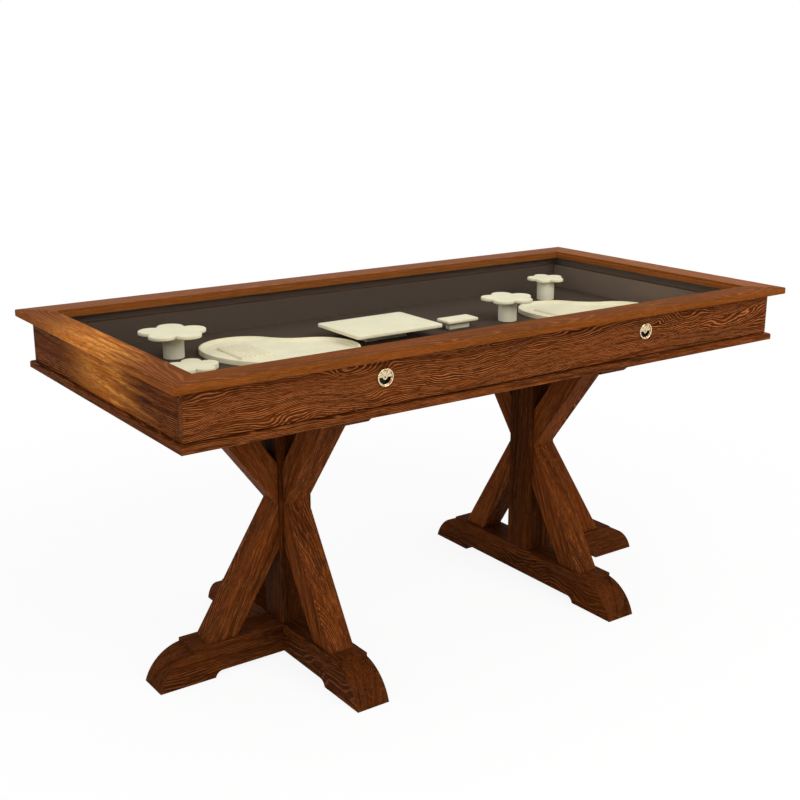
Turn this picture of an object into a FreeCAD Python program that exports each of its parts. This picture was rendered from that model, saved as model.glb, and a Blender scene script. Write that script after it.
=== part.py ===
"""Glass-topped display table: a shallow lined case with one wide drawer under a mitred
frame, standing on two braced pedestals.

X runs along the table, -Y is the front where the drawer opens, Z is up, and the origin
is on the floor under the middle of the table. Every length is in millimetres.
"""
import FreeCAD, Part
import os

import Sketcher
from FreeCAD import Placement, Rotation, Vector

DIMENSIONS = (
    # table top: four mitred rails round a pane of glass
    ("table_length", 1600, "over the ends of the top rails"),
    ("table_depth", 800, "front to back over the top rails"),
    ("table_height", 770, "floor to the face of the top rails"),
    ("rail_width", 76, "width of a top rail"),
    ("rail_thickness", 16, "thickness of a top rail"),
    ("rail_round", 3, "rounding of a top rail's outer edges"),
    ("rebate_width", 8, "ledge that carries the glass"),
    ("rebate_depth", 6, "depth of that ledge"),
    ("glass_thickness", 5, "thickness of the pane"),
    ("glass_clearance", 1, "gap round the pane"),
    ("glass_arris", 0.8, "ground edge of the pane"),
    # case: shallow box that stands in from the edge of the top
    ("overhang", 28, "top rails beyond the case"),
    ("case_height", 97, "height of the case's boards"),
    ("case_board", 18, "thickness of the case's boards"),
    ("moulding_width", 60, "width of a base moulding"),
    ("moulding_thickness", 15, "thickness of the base mouldings and the case floor"),
    ("moulding_projection", 10, "base moulding beyond the case"),
    ("moulding_round", 5, "rounding of a base moulding's upper edge"),
    ("rail_support_depth", 26, "stretcher behind the drawer front, front to back"),
    ("rail_support_height", 18, "height of that stretcher"),
    # drawer
    ("drawer_gap", 2, "gap above and below the drawer front"),
    ("drawer_front_thickness", 18, "thickness of the drawer front"),
    ("drawer_front_round", 1.5, "rounding of the drawer front's edges"),
    ("drawer_stand_off", 2, "drawer front to the case's boards"),
    ("drawer_board", 12, "thickness of the drawer's sides and back"),
    ("drawer_side_height", 73, "height of the drawer's sides"),
    ("drawer_lift", 3, "drawer's sides above the case floor"),
    ("drawer_floor_rise", 3, "groove above the sides' lower edges"),
    ("drawer_floor_thickness", 8, "thickness of the drawer's bottom panel"),
    ("groove_depth", 5, "groove that holds the bottom panel"),
    ("drawer_back_gap", 4, "drawer's back to the case's back"),
    ("buffer_width", 10, "width and height of a closing buffer"),
    ("buffer_clearance", 0.3, "buffer to the closed drawer front"),
    # telescopic runners: three nested channels on each side
    ("runner_space", 12.7, "drawer side to case side"),
    ("runner_set_back", 8, "channels behind the drawer front"),
    ("runner_end_gap", 56, "channels' rear ends to the drawer's rear"),
    ("runner_height", 45, "height of the outer channel"),
    ("runner_rise", 14, "outer channel above the sides' lower edges"),
    ("runner_sheet", 1.2, "thickness of the channels' sheet steel"),
    ("runner_play", 0.4, "running clearance between the channels"),
    ("runner_lap", 6.5, "flange of the outer and middle channels"),
    # ring pulls let into the drawer front
    ("pull_spacing", 704, "between the two pulls"),
    ("pull_rise", 9.5, "pulls above the middle of the drawer front"),
    ("pull_plate_radius", 17.2, "radius of the pull's plate"),
    ("pull_plate_thickness", 1.2, "thickness of the pull's plate"),
    ("pull_cup_radius", 15.2, "outer radius of the finger cup"),
    ("pull_cup_depth", 11, "depth of the finger cup"),
    ("pull_cup_wall", 1.2, "wall of the finger cup"),
    ("pull_cup_clearance", 0.2, "socket round the finger cup"),
    ("pull_boss_radius", 5.2, "boss in the middle of the plate"),
    ("pull_screw_radius", 1.6, "screw hole in the boss"),
    ("pull_screw_depth", 4, "depth of that hole"),
    ("ring_radius", 16.6, "middle line of the pull's ring"),
    ("ring_wire_radius", 1.4, "radius of the bar, half the width of the ring"),
    ("ring_stand_off", 2, "ring to the drawer front"),
    ("ring_bar_half", 5.1, "half the straight bar at the ring's top"),
    ("ring_play", 0.05, "bar in the lug's eye"),
    ("lug_width", 6, "width of the lug that holds the bar"),
    ("lug_radius", 2.6, "radius of the lug's head"),
    # pedestals
    ("pedestal_spacing", 720, "between the two posts' axes"),
    ("timber", 78, "width of the posts and the feet"),
    ("post_round", 2, "rounding of the post's edges"),
    ("foot_height", 80, "height of a foot's flat top"),
    ("foot_reach", 340, "post axis to a foot's toe"),
    ("foot_step", 9, "step down from the flat top to the nose"),
    ("nose_run", 82, "length of the foot's rounded nose"),
    ("nose_radius", 100, "radius of that nose"),
    ("pad_length", 130, "length of the foot that stands on the floor"),
    ("relief_run", 18, "curve from the pad to the raised underside"),
    ("relief_height", 14, "height of the raised underside"),
    ("foot_ease", 1.5, "easing of a foot's long top edges"),
    ("brace_width", 60, "width of a brace across"),
    ("brace_depth", 60, "depth of a brace, square to its length"),
    ("brace_nose", 4, "brace at the waist, beyond the post's face"),
    ("brace_ease", 1.2, "bevel on a brace's long edges"),
    ("waist_height", 364, "where the lower and upper braces meet"),
    ("lower_brace_angle", 32, "lower brace from upright, degrees"),
    ("upper_brace_angle", 37, "upper brace from upright, degrees"),
    ("cleat_height", 45, "height of the cleats under the case"),
    ("cleat_reach", 300, "post axis to a cleat's end"),
    ("cleat_cut_height", 25, "bevel on a cleat's lower end, upwards"),
    ("cleat_cut_run", 30, "bevel on a cleat's lower end, lengthways"),
    # heads of the screws that hold the case on the cleats
    ("bolt_head_radius", 7.5, "radius over the corners of a hexagon head"),
    ("bolt_head_height", 5, "height of a head"),
    ("bolt_reach", 240, "post axis to a head"),
    # loose display stands and trays that lie in the drawer
    ("petals", 5, "petals round a plate"),
    ("petal_radius", 30, "radius of one petal of a stand's plate"),
    ("petal_circle", 46, "plate's middle to a petal's middle"),
    ("stand_height", 60, "height of a flower stand"),
    ("stand_plate", 9, "thickness of a stand's plate"),
    ("stand_column_radius", 23, "radius of a stand's column"),
    ("low_petal_radius", 22, "radius of one petal of a low plate"),
    ("low_petal_circle", 34, "low plate's middle to a petal's middle"),
    ("low_plate_height", 14, "height of the low plate"),
    ("leaf_radius", 101.5, "larger lobe of a leaf tray"),
    ("leaf_small_radius", 95, "smaller lobe of a leaf tray"),
    ("leaf_spacing", 163, "between the middles of the two lobes"),
    ("leaf_dip_radius", 132, "hollow curve between the lobes on the rear side"),
    ("leaf_front_radius", 190, "full curve over both lobes on the front side"),
    ("leaf_height", 12, "height of a leaf tray's rim"),
    ("leaf_floor", 5, "thickness of a leaf tray's floor"),
    ("leaf_wall", 6, "width of a leaf tray's rim"),
    ("centre_length", 238, "length of the raised centre tray"),
    ("centre_depth", 176, "depth of the raised centre tray"),
    ("centre_corner", 8, "corner radius of the centre tray"),
    ("centre_thickness", 8, "thickness of the centre tray"),
    ("centre_height", 32, "top of the centre tray above the drawer floor"),
    ("centre_inset", 45, "block under the centre tray, in from its edge"),
    ("centre_bevel", 1, "bevel on the centre tray's upper edge"),
    ("small_length", 92, "length of the small raised tray"),
    ("small_depth", 50, "depth of the small raised tray"),
    ("small_corner", 5, "corner radius of the small tray"),
    ("small_thickness", 6, "thickness of the small tray"),
    ("small_height", 24, "top of the small tray above the drawer floor"),
    ("small_inset", 12, "block under the small tray, in from its edge"),
    ("small_bevel", 0.8, "bevel on the small tray's upper edge"),
    # where they lie: along the table from its middle, and across it, unless said otherwise
    ("stand_left_x", -535, "left flower stand"),
    ("stand_left_y", 170, "left flower stand"),
    ("stand_right_x", -10.3, "right flower stand, from midway between small tray and leaf tray"),
    ("stand_right_y", 50, "right flower stand"),
    ("stand_rear_x", -152.3, "rear flower stand, from the drawer's right side"),
    ("stand_rear_y", 205, "rear flower stand"),
    ("leaf_left_x", -383, "larger lobe of the left leaf tray"),
    ("leaf_left_y", 130, "larger lobe of the left leaf tray"),
    ("leaf_left_turn", 145, "left leaf tray about the upright, degrees"),
    ("leaf_right_x", -248.7, "larger lobe of the right leaf tray, from the drawer's right side"),
    ("leaf_right_y", 50, "larger lobe of the right leaf tray"),
    ("leaf_right_turn", 143, "right leaf tray about the upright, degrees"),
    ("centre_x", -55, "centre tray"),
    ("centre_y", 76, "centre tray"),
    ("low_left_x", -552, "low plate"),
    ("low_left_y", 40, "low plate"),
    ("small_x", 150, "small tray"),
    ("small_y", 46, "small tray"),
)

doc = FreeCAD.newDocument("DisplayTable")
sheet = doc.addObject("Spreadsheet::Sheet", "Dims")
for row, (name, value, meaning) in enumerate(DIMENSIONS, start=1):
    sheet.set(f"A{row}", meaning)
    sheet.set(f"B{row}", str(value))
    sheet.setAlias(f"B{row}", name)
doc.recompute()


class Size:
    """A length worked out from the sheet, kept as an expression that follows it."""

    def __init__(self, text):
        self.text = str(text)

    def joined(self, sign, other, turned=False):
        first, second = (Size(other), self) if turned else (self, Size(other))
        return Size(f"({first.text} {sign} {second.text})")

    def __add__(self, other):
        return self.joined("+", other)

    def __radd__(self, other):
        return self.joined("+", other, turned=True)

    def __sub__(self, other):
        return self.joined("-", other)

    def __rsub__(self, other):
        return self.joined("-", other, turned=True)

    def __mul__(self, other):
        return self.joined("*", other)

    def __rmul__(self, other):
        return self.joined("*", other, turned=True)

    def __truediv__(self, other):
        return self.joined("/", other)

    def __rtruediv__(self, other):
        return self.joined("/", other, turned=True)

    def __neg__(self):
        return 0 - self

    def __float__(self):
        return float(sheet.evalExpression(self.text))

    def __str__(self):
        return self.text


def root(value):
    return Size(f"sqrt({value})")


def squares(*values):
    return Size("(" + " + ".join(f"{value} ^ 2" for value in values) + ")")


def tangent(angle):
    return Size(f"tan({angle})")


def cosine(angle):
    return Size(f"cos({angle})")


class Dimensions:
    """The sheet's cells by name."""


dim = Dimensions()
for name, value, meaning in DIMENSIONS:
    setattr(dim, name, Size(f"Dims.{name}"))


# ------------------------------------------------------------------ modelling helpers

def place(thing, x=0, y=0, z=0, turn=0):
    """Turn a sub-part about the upright and stand it at a place that follows the sheet."""
    thing.Placement = Placement(Vector(), Rotation(Vector(0, 0, 1), float(turn)))
    if isinstance(turn, Size):
        thing.setExpression("Placement.Rotation.Angle", str(turn))
    for axis, distance in zip("xyz", (x, y, z)):
        thing.setExpression(f"Placement.Base.{axis}", str(distance))


def board(label, low, high):
    """A plain square-edged board between two opposite corners."""
    box = doc.addObject("Part::Box", label)
    for side, start, end in zip(("Length", "Width", "Height"), low, high):
        box.setExpression(side, str(end - start))
    place(box, *low)
    return box


def new_body(label):
    return doc.addObject("PartDesign::Body", label)


def new_sketch(body, plane, lift=0):
    """An empty sketch on one of the body's own origin planes, or above it."""
    sketch = body.newObject("Sketcher::SketchObject", "Sketch")
    origin = [item for item in body.Origin.OriginFeatures if item.Role == plane][0]
    sketch.AttachmentSupport = (origin, "")
    sketch.MapMode = "FlatFace"
    sketch.setExpression("AttachmentOffset.Base.z", str(lift))
    return sketch


def hold(sketch, kind, first, second, value):
    """Drive one distance between two sketch points by the sheet."""
    number = sketch.addConstraint(Sketcher.Constraint(kind, *first, *second, float(value)))
    sketch.setExpression(f"Constraints[{number}]", str(value))


def arc_middle(start, end, radius, side):
    """The middle of an arc that bulges to the left (+1) or right (-1) of start to end."""
    chord = end - start
    half = chord.Length / 2
    rise = float(radius) - (float(radius) ** 2 - half ** 2) ** 0.5
    left = Vector(-chord.y, chord.x, 0).normalize()
    return start + chord / 2 + left * (rise * side)


def add_outline(sketch, corners):
    """A closed outline. A corner is (x, y), or (x, y, radius, side) where an arc that
    bulges to that side of the way leads on to the next corner."""
    points = [Vector(float(corner[0]), float(corner[1]), 0) for corner in corners]
    starts, ends = [], []
    for number, corner in enumerate(corners):
        start, end = points[number], points[(number + 1) % len(corners)]
        if len(corner) == 2:
            edge = sketch.addGeometry(Part.LineSegment(start, end))
        else:
            via = arc_middle(start, end, corner[2], corner[3])
            edge = sketch.addGeometry(Part.Arc(start, via, end))
            radius = sketch.addConstraint(Sketcher.Constraint("Radius", edge, float(corner[2])))
            sketch.setExpression(f"Constraints[{radius}]", str(corner[2]))
        forward = sketch.getPoint(edge, 1).distanceToPoint(start) < 0.001
        starts.append((edge, 1 if forward else 2))
        ends.append((edge, 2 if forward else 1))
    for number, corner in enumerate(corners):
        sketch.addConstraint(Sketcher.Constraint("Coincident", *ends[number - 1], *starts[number]))
        hold(sketch, "DistanceX", (-1, 1), starts[number], corner[0])
        hold(sketch, "DistanceY", (-1, 1), starts[number], corner[1])


def rectangle(low_x, low_y, high_x, high_y):
    return [(low_x, low_y), (high_x, low_y), (high_x, high_y), (low_x, high_y)]


def add_circle(sketch, x, y, radius):
    middle = Vector(float(x), float(y), 0)
    edge = sketch.addGeometry(Part.Circle(middle, Vector(0, 0, 1), float(radius)))
    hold(sketch, "DistanceX", (-1, 1), (edge, 3), x)
    hold(sketch, "DistanceY", (-1, 1), (edge, 3), y)
    number = sketch.addConstraint(Sketcher.Constraint("Radius", edge, float(radius)))
    sketch.setExpression(f"Constraints[{number}]", str(radius))


def pad(body, sketch, length, symmetric=False, reverse=False):
    feature = body.newObject("PartDesign::Pad", "Pad")
    feature.Profile = sketch
    feature.SideType = "Symmetric" if symmetric else "One side"
    feature.Reversed = reverse
    feature.setExpression("Length", str(length))
    doc.recompute()
    return feature


def pocket(body, sketch, depth=None, symmetric=False, reverse=False):
    """Cut to a depth, or right through where none is given, and make sure that it cut."""
    before = body.Shape.Volume
    feature = body.newObject("PartDesign::Pocket", "Pocket")
    feature.Profile = sketch
    feature.SideType = "Symmetric" if symmetric else "One side"
    feature.Reversed = reverse
    if depth is None:
        feature.Type = "ThroughAll"
    else:
        feature.setExpression("Length", str(depth))
    doc.recompute()
    if body.Shape.Volume >= before:
        raise ValueError(f"{body.Label}: a pocket cut nothing")
    return feature


def dress(body, kind, size, chosen):
    """Round or bevel the edges of the body that the given test picks."""
    base = body.Tip
    names = [f"Edge{i}" for i, edge in enumerate(base.Shape.Edges, start=1) if chosen(edge)]
    feature = body.newObject(f"PartDesign::{kind}", kind)
    feature.Base = (base, names)
    feature.setExpression("Radius" if kind == "Fillet" else "Size", str(size))
    doc.recompute()
    return feature


def runs_along(edge, axis):
    """True for a straight edge along one axis."""
    if not isinstance(edge.Curve, Part.Line):
        return False
    return abs(edge.Curve.Direction.dot(axis)) > 0.9999


def box_at(edge):
    return edge.BoundBox


ALONG_X = Vector(1, 0, 0)
ALONG_Y = Vector(0, 1, 0)
ALONG_Z = Vector(0, 0, 1)


# ------------------------------------------------------------------ shared levels and faces

half_length = dim.table_length / 2
half_depth = dim.table_depth / 2
rail_underside = dim.table_height - dim.rail_thickness
case_floor_top = rail_underside - dim.case_height
case_underside = case_floor_top - dim.moulding_thickness

case_end = half_length - dim.overhang
case_face = half_depth - dim.overhang
case_inside_end = case_end - dim.case_board
case_inside_back = case_face - dim.case_board

front_low = case_floor_top + dim.drawer_gap
front_high = rail_underside - dim.drawer_gap
drawer_front_face = -case_face
drawer_front_back = drawer_front_face + dim.drawer_front_thickness
case_front_end = drawer_front_back + dim.drawer_stand_off
drawer_underside = case_floor_top + dim.drawer_lift
drawer_side_outer = case_inside_end - dim.runner_space
drawer_side_inner = drawer_side_outer - dim.drawer_board
drawer_back_outer = case_inside_back - dim.drawer_back_gap
drawer_back_inner = drawer_back_outer - dim.drawer_board
drawer_panel_under = drawer_underside + dim.drawer_floor_rise
drawer_floor = drawer_panel_under + dim.drawer_floor_thickness


# ------------------------------------------------------------------ table top

def mitred_member(label, length, width, thickness, turn, x, y, z):
    """A board with both ends cut at 45 degrees, its long edge on local y = 0."""
    body = new_body(label)
    sketch = new_sketch(body, "XY_Plane")
    half = length / 2
    add_outline(sketch, [(-half, 0), (half, 0), (half - width, width), (width - half, width)])
    pad(body, sketch, thickness)
    place(body, x, y, z, turn)
    return body


def top_rail(label, length, turn, x, y):
    """A rail of the top: mitred, rebated for the glass and rounded along its outside."""
    body = mitred_member(label, length, dim.rail_width, dim.rail_thickness, turn, x, y, rail_underside)
    rebate = new_sketch(body, "XY_Plane", dim.rail_thickness)
    half = length / 2
    ledge = dim.rail_width - dim.rebate_width
    add_outline(rebate, rectangle(-half, ledge, half, dim.rail_width))
    pocket(body, rebate, dim.rebate_depth)
    outer_edge = lambda edge: runs_along(edge, ALONG_X) and box_at(edge).YMax < 0.01
    dress(body, "Fillet", dim.rail_round, outer_edge)


top_rail("top_rail_front", dim.table_length, 0, 0, -half_depth)
top_rail("top_rail_back", dim.table_length, 180, 0, half_depth)
top_rail("top_rail_left", dim.table_depth, -90, -half_length, 0)
top_rail("top_rail_right", dim.table_depth, 90, half_length, 0)

glass = new_body("glass_top")
glass_sketch = new_sketch(glass, "XY_Plane")
pane_inset = dim.rail_width - dim.rebate_width + dim.glass_clearance
pane_x = half_length - pane_inset
pane_y = half_depth - pane_inset
add_outline(glass_sketch, rectangle(-pane_x, -pane_y, pane_x, pane_y))
pad(glass, glass_sketch, dim.glass_thickness)
dress(glass, "Chamfer", dim.glass_arris, lambda edge: box_at(edge).ZLength < 0.01)
place(glass, z=dim.table_height - dim.rebate_depth)


# ------------------------------------------------------------------ case

def base_moulding(label, length, turn, x, y):
    """A strip of the plinth round the case, rounded along its upper outside edge."""
    body = mitred_member(label, length, dim.moulding_width, dim.moulding_thickness,
                         turn, x, y, case_underside)
    level = float(dim.moulding_thickness) - 0.01
    upper_edge = lambda edge: (runs_along(edge, ALONG_X) and box_at(edge).YMax < 0.01
                               and box_at(edge).ZMin > level)
    dress(body, "Fillet", dim.moulding_round, upper_edge)


plinth_x = case_end + dim.moulding_projection
plinth_y = case_face + dim.moulding_projection
base_moulding("base_moulding_front", 2 * plinth_x, 0, 0, -plinth_y)
base_moulding("base_moulding_back", 2 * plinth_x, 180, 0, plinth_y)
base_moulding("base_moulding_left", 2 * plinth_y, -90, -plinth_x, 0)
base_moulding("base_moulding_right", 2 * plinth_y, 90, plinth_x, 0)

floor_panel = new_body("case_bottom")
floor_sketch = new_sketch(floor_panel, "XY_Plane")
floor_x = plinth_x - dim.moulding_width
floor_y = plinth_y - dim.moulding_width
add_outline(floor_sketch, rectangle(-floor_x, -floor_y, floor_x, floor_y))
pad(floor_panel, floor_sketch, dim.moulding_thickness)
place(floor_panel, z=case_underside)

for name, low_x in (("case_side_left", -case_end), ("case_side_right", case_inside_end)):
    board(name, (low_x, case_front_end, case_floor_top),
          (low_x + dim.case_board, case_face, rail_underside))
board("case_back", (-case_inside_end, case_inside_back, case_floor_top),
      (case_inside_end, case_face, rail_underside))
board("front_stretcher", (-case_inside_end, case_front_end, rail_underside - dim.rail_support_height),
      (case_inside_end, case_front_end + dim.rail_support_depth, rail_underside))

buffers = new_body("drawer_buffers")
buffer_sketch = new_sketch(buffers, "XZ_Plane", -case_front_end)
buffer_x = case_end - dim.case_board / 2
buffer_half = dim.buffer_width / 2
for x in (-buffer_x, buffer_x):
    for z in (front_low + dim.buffer_width, front_high - dim.buffer_width):
        add_outline(buffer_sketch, rectangle(x - buffer_half, z - buffer_half,
                                             x + buffer_half, z + buffer_half))
pad(buffers, buffer_sketch, dim.drawer_stand_off - dim.buffer_clearance)


# ------------------------------------------------------------------ drawer

front = new_body("drawer_front")
pull_height = (front_low + front_high) / 2 + dim.pull_rise
front_sketch = new_sketch(front, "XZ_Plane", -drawer_front_face)
add_outline(front_sketch, rectangle(-case_end, front_low, case_end, front_high))
pad(front, front_sketch, dim.drawer_front_thickness, reverse=True)
outside = float(drawer_front_face) + 0.01
dress(front, "Fillet", dim.drawer_front_round, lambda edge: box_at(edge).YMax < outside)
socket_sketch = new_sketch(front, "XZ_Plane", -drawer_front_face)
for x in (-dim.pull_spacing / 2, dim.pull_spacing / 2):
    add_circle(socket_sketch, x, pull_height, dim.pull_cup_radius + dim.pull_cup_clearance)
pocket(front, socket_sketch, dim.pull_cup_depth + dim.pull_cup_clearance)
groove_sketch = new_sketch(front, "XZ_Plane", -drawer_front_back)
groove_end = drawer_side_inner + dim.groove_depth
add_outline(groove_sketch, rectangle(-groove_end, drawer_panel_under, groove_end, drawer_floor))
pocket(front, groove_sketch, dim.groove_depth, reverse=True)

drawer_side_top = drawer_underside + dim.drawer_side_height
for name, hand in (("drawer_side_left", -1), ("drawer_side_right", 1)):
    side = new_body(name)
    sketch = new_sketch(side, "XZ_Plane", -drawer_front_back)
    groove_x = hand * (drawer_side_inner + dim.groove_depth)
    outer_x = hand * drawer_side_outer
    inner_x = hand * drawer_side_inner
    add_outline(sketch, [(outer_x, drawer_underside), (outer_x, drawer_side_top),
                         (inner_x, drawer_side_top), (inner_x, drawer_floor),
                         (groove_x, drawer_floor), (groove_x, drawer_panel_under),
                         (inner_x, drawer_panel_under), (inner_x, drawer_underside)])
    pad(side, sketch, drawer_back_outer - drawer_front_back, reverse=True)

board("drawer_back", (-drawer_side_inner, drawer_back_inner, drawer_floor),
      (drawer_side_inner, drawer_back_outer, drawer_side_top))
board("drawer_bottom", (-groove_end, drawer_front_back - dim.groove_depth, drawer_panel_under),
      (groove_end, drawer_back_outer, drawer_floor))


# ------------------------------------------------------------------ telescopic runners

runner_low = drawer_underside + dim.runner_rise
runner_start = drawer_front_back + dim.runner_set_back
runner_length = drawer_back_outer - dim.runner_end_gap - runner_start


def channel(label, web_face, flange, inset, hand, opens):
    """A channel of bent sheet. Its web stands on web_face, its flanges reach to one side."""
    body = new_body(label)
    sketch = new_sketch(body, "XZ_Plane", -runner_start)
    low = runner_low + inset
    high = runner_low + dim.runner_height - inset
    low_inside = low + dim.runner_sheet
    high_inside = high - dim.runner_sheet
    web_outside = hand * web_face
    web_inside = hand * (web_face + opens * dim.runner_sheet)
    tip = hand * (web_face + opens * flange)
    add_outline(sketch, [(web_outside, low), (tip, low), (tip, low_inside), (web_inside, low_inside),
                         (web_inside, high_inside), (tip, high_inside), (tip, high), (web_outside, high)])
    pad(body, sketch, runner_length, reverse=True)


nest = dim.runner_sheet + dim.runner_play
flange_reach = dim.runner_lap + dim.runner_sheet
for name, hand in (("left", -1), ("right", 1)):
    channel(f"runner_outer_{name}", case_inside_end, flange_reach, 0, hand, -1)
    channel(f"runner_middle_{name}", case_inside_end - nest, flange_reach, nest, hand, -1)
    channel(f"runner_inner_{name}", drawer_side_outer, dim.runner_space - 2 * nest, 2 * nest, hand, 1)


# ------------------------------------------------------------------ ring pulls

ring_plane = dim.ring_wire_radius + dim.ring_stand_off
hinge_rise = root(squares(dim.ring_radius) - squares(dim.ring_bar_half))


def pull_plate(label, x):
    """A round plate with a half-moon finger cup, a boss for its screw and a lug on top."""
    body = new_body(label)
    disc = new_sketch(body, "XZ_Plane")
    add_circle(disc, 0, 0, dim.pull_plate_radius)
    pad(body, disc, dim.pull_plate_thickness)
    lug = new_sketch(body, "YZ_Plane")
    head_top = hinge_rise + dim.lug_radius
    lug_low = hinge_rise - 2 * dim.lug_radius
    add_outline(lug, [(-dim.pull_plate_thickness, lug_low), (0, lug_low), (0, head_top),
                      (-ring_plane, head_top, dim.lug_radius, -1),
                      (-ring_plane - dim.lug_radius, hinge_rise)])
    pad(body, lug, dim.lug_width, symmetric=True)
    eye = new_sketch(body, "YZ_Plane")
    add_circle(eye, -ring_plane, hinge_rise, dim.ring_wire_radius + dim.ring_play)
    pocket(body, eye, symmetric=True)
    cup = new_sketch(body, "XZ_Plane")
    add_circle(cup, 0, 0, dim.pull_cup_radius)
    pad(body, cup, dim.pull_cup_depth, reverse=True)
    moon = new_sketch(body, "XZ_Plane", dim.pull_plate_thickness)
    rim = dim.pull_cup_radius - dim.pull_cup_wall
    boss = dim.pull_boss_radius
    add_outline(moon, [(-rim, 0, rim, -1), (0, -rim, rim, -1), (rim, 0),
                       (boss, 0, boss, 1), (0, -boss, boss, 1), (-boss, 0)])
    pocket(body, moon, dim.pull_plate_thickness + dim.pull_cup_depth - dim.pull_cup_wall)
    screw = new_sketch(body, "XZ_Plane", dim.pull_plate_thickness)
    add_circle(screw, 0, 0, dim.pull_screw_radius)
    pocket(body, screw, dim.pull_screw_depth)
    place(body, x, drawer_front_face, pull_height)


def pull_ring(label, x):
    """A square-edged ring, open at the top, with a round bar there that swings in the lug."""
    body = new_body(label)
    section = new_sketch(body, "YZ_Plane")
    half = dim.ring_wire_radius
    ring_y, ring_z = -ring_plane, -dim.ring_radius
    add_outline(section, rectangle(ring_y - half, ring_z - half, ring_y + half, ring_z + half))
    ring = body.newObject("PartDesign::Revolution", "Revolution")
    ring.Profile = section
    ring.ReferenceAxis = (section, ["H_Axis"])
    ring.Midplane = True
    ring.setExpression("Angle", f"360 deg - 2 * asin({dim.ring_bar_half / dim.ring_radius})")
    doc.recompute()
    bar = new_sketch(body, "YZ_Plane")
    add_circle(bar, ring_y, hinge_rise, half)
    pad(body, bar, 2 * (dim.ring_bar_half + half * dim.ring_bar_half / dim.ring_radius), symmetric=True)
    place(body, x, drawer_front_face, pull_height)


for name, x in (("left", -dim.pull_spacing / 2), ("right", dim.pull_spacing / 2)):
    pull_plate(f"pull_plate_{name}", x)
    pull_ring(f"pull_ring_{name}", x)


# ------------------------------------------------------------------ pedestals

post_half = dim.timber / 2
cleat_underside = case_underside - dim.cleat_height
relief_start = dim.foot_reach - dim.pad_length
relief_end = relief_start - dim.relief_run
relief_radius = squares(dim.relief_run, dim.relief_height) / (2 * dim.relief_height)
nose_start = dim.foot_reach - dim.nose_run
nose_top = dim.foot_height - dim.foot_step
waist_out = post_half + dim.brace_nose


def profile_body(label, corners, width):
    """A timber cut to an outline in the local XZ plane, even on both sides of it."""
    body = new_body(label)
    sketch = new_sketch(body, "XZ_Plane")
    add_outline(sketch, corners)
    pad(body, sketch, width, symmetric=True)
    return body


def ease_top(body):
    """Round the long upper edges of a foot."""
    level = float(dim.foot_height) - 0.01
    long_top = lambda edge: runs_along(edge, ALONG_X) and box_at(edge).ZMin > level
    dress(body, "Fillet", dim.foot_ease, long_top)


def ease_slopes(body):
    """Bevel the long edges of a slanting brace."""
    slope = lambda edge: not any(runs_along(edge, axis) for axis in (ALONG_X, ALONG_Y, ALONG_Z))
    dress(body, "Chamfer", dim.brace_ease, slope)


foot_end = [(relief_end, dim.relief_height, relief_radius, 1), (relief_start, 0),
            (dim.foot_reach, 0, dim.nose_radius, -1), (nose_start, nose_top),
            (nose_start, dim.foot_height)]
other_foot_end = [(-nose_start, dim.foot_height), (-nose_start, nose_top, dim.nose_radius, -1),
                  (-dim.foot_reach, 0), (-relief_start, 0, relief_radius, 1),
                  (-relief_end, dim.relief_height)]
cleat_cut_start = dim.cleat_reach - dim.cleat_cut_run
cleat_cut_end = cleat_underside + dim.cleat_cut_height
cleat_end = [(cleat_cut_start, cleat_underside), (dim.cleat_reach, cleat_cut_end),
             (dim.cleat_reach, case_underside)]
other_cleat_end = [(-dim.cleat_reach, case_underside), (-dim.cleat_reach, cleat_cut_end),
                   (-cleat_cut_start, cleat_underside)]


def brace_outline(end_height, angle, upwards):
    """A brace from the post's waist up (1) or down (-1) to a level, leaning out."""
    outer = waist_out + upwards * (end_height - dim.waist_height) * tangent(angle)
    inner = outer - dim.brace_depth / cosine(angle)
    on_post = end_height - upwards * (inner - post_half) / tangent(angle)
    return [(post_half, on_post), (inner, end_height), (outer, end_height),
            (waist_out, dim.waist_height), (post_half, dim.waist_height)]


def pedestal(name, x, outward_turn):
    """A post on three feet, braced three ways at both ends, with cleats under the case."""
    post = new_body(f"{name}_post")
    section = new_sketch(post, "XY_Plane", dim.foot_height)
    add_outline(section, rectangle(-post_half, -post_half, post_half, post_half))
    pad(post, section, cleat_underside - dim.foot_height)
    dress(post, "Fillet", dim.post_round, lambda edge: runs_along(edge, ALONG_Z))
    place(post, x)

    foot = profile_body(f"{name}_foot_depth", foot_end + other_foot_end, dim.timber)
    ease_top(foot)
    place(foot, x, turn=90)
    foot = profile_body(f"{name}_foot_out", [(post_half, dim.relief_height)] + foot_end
                        + [(post_half, dim.foot_height)], dim.timber)
    ease_top(foot)
    place(foot, x, turn=outward_turn)

    for arm, turn in (("front", -90), ("back", 90), ("out", outward_turn)):
        lower = brace_outline(dim.foot_height, dim.lower_brace_angle, -1)
        upper = brace_outline(cleat_underside, dim.upper_brace_angle, 1)
        for level, corners in (("lower", lower), ("upper", upper)):
            brace = profile_body(f"{name}_brace_{level}_{arm}", corners, dim.brace_width)
            ease_slopes(brace)
            place(brace, x, turn=turn)

    cleat = profile_body(f"{name}_cleat_depth", cleat_end + other_cleat_end, dim.timber)
    place(cleat, x, turn=90)
    cleat = profile_body(f"{name}_cleat_out", [(post_half, cleat_underside)] + cleat_end
                         + [(post_half, case_underside)], dim.timber)
    place(cleat, x, turn=outward_turn)


pedestal_x = dim.pedestal_spacing / 2
pedestal("left", -pedestal_x, 180)
pedestal("right", pedestal_x, 0)

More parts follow.
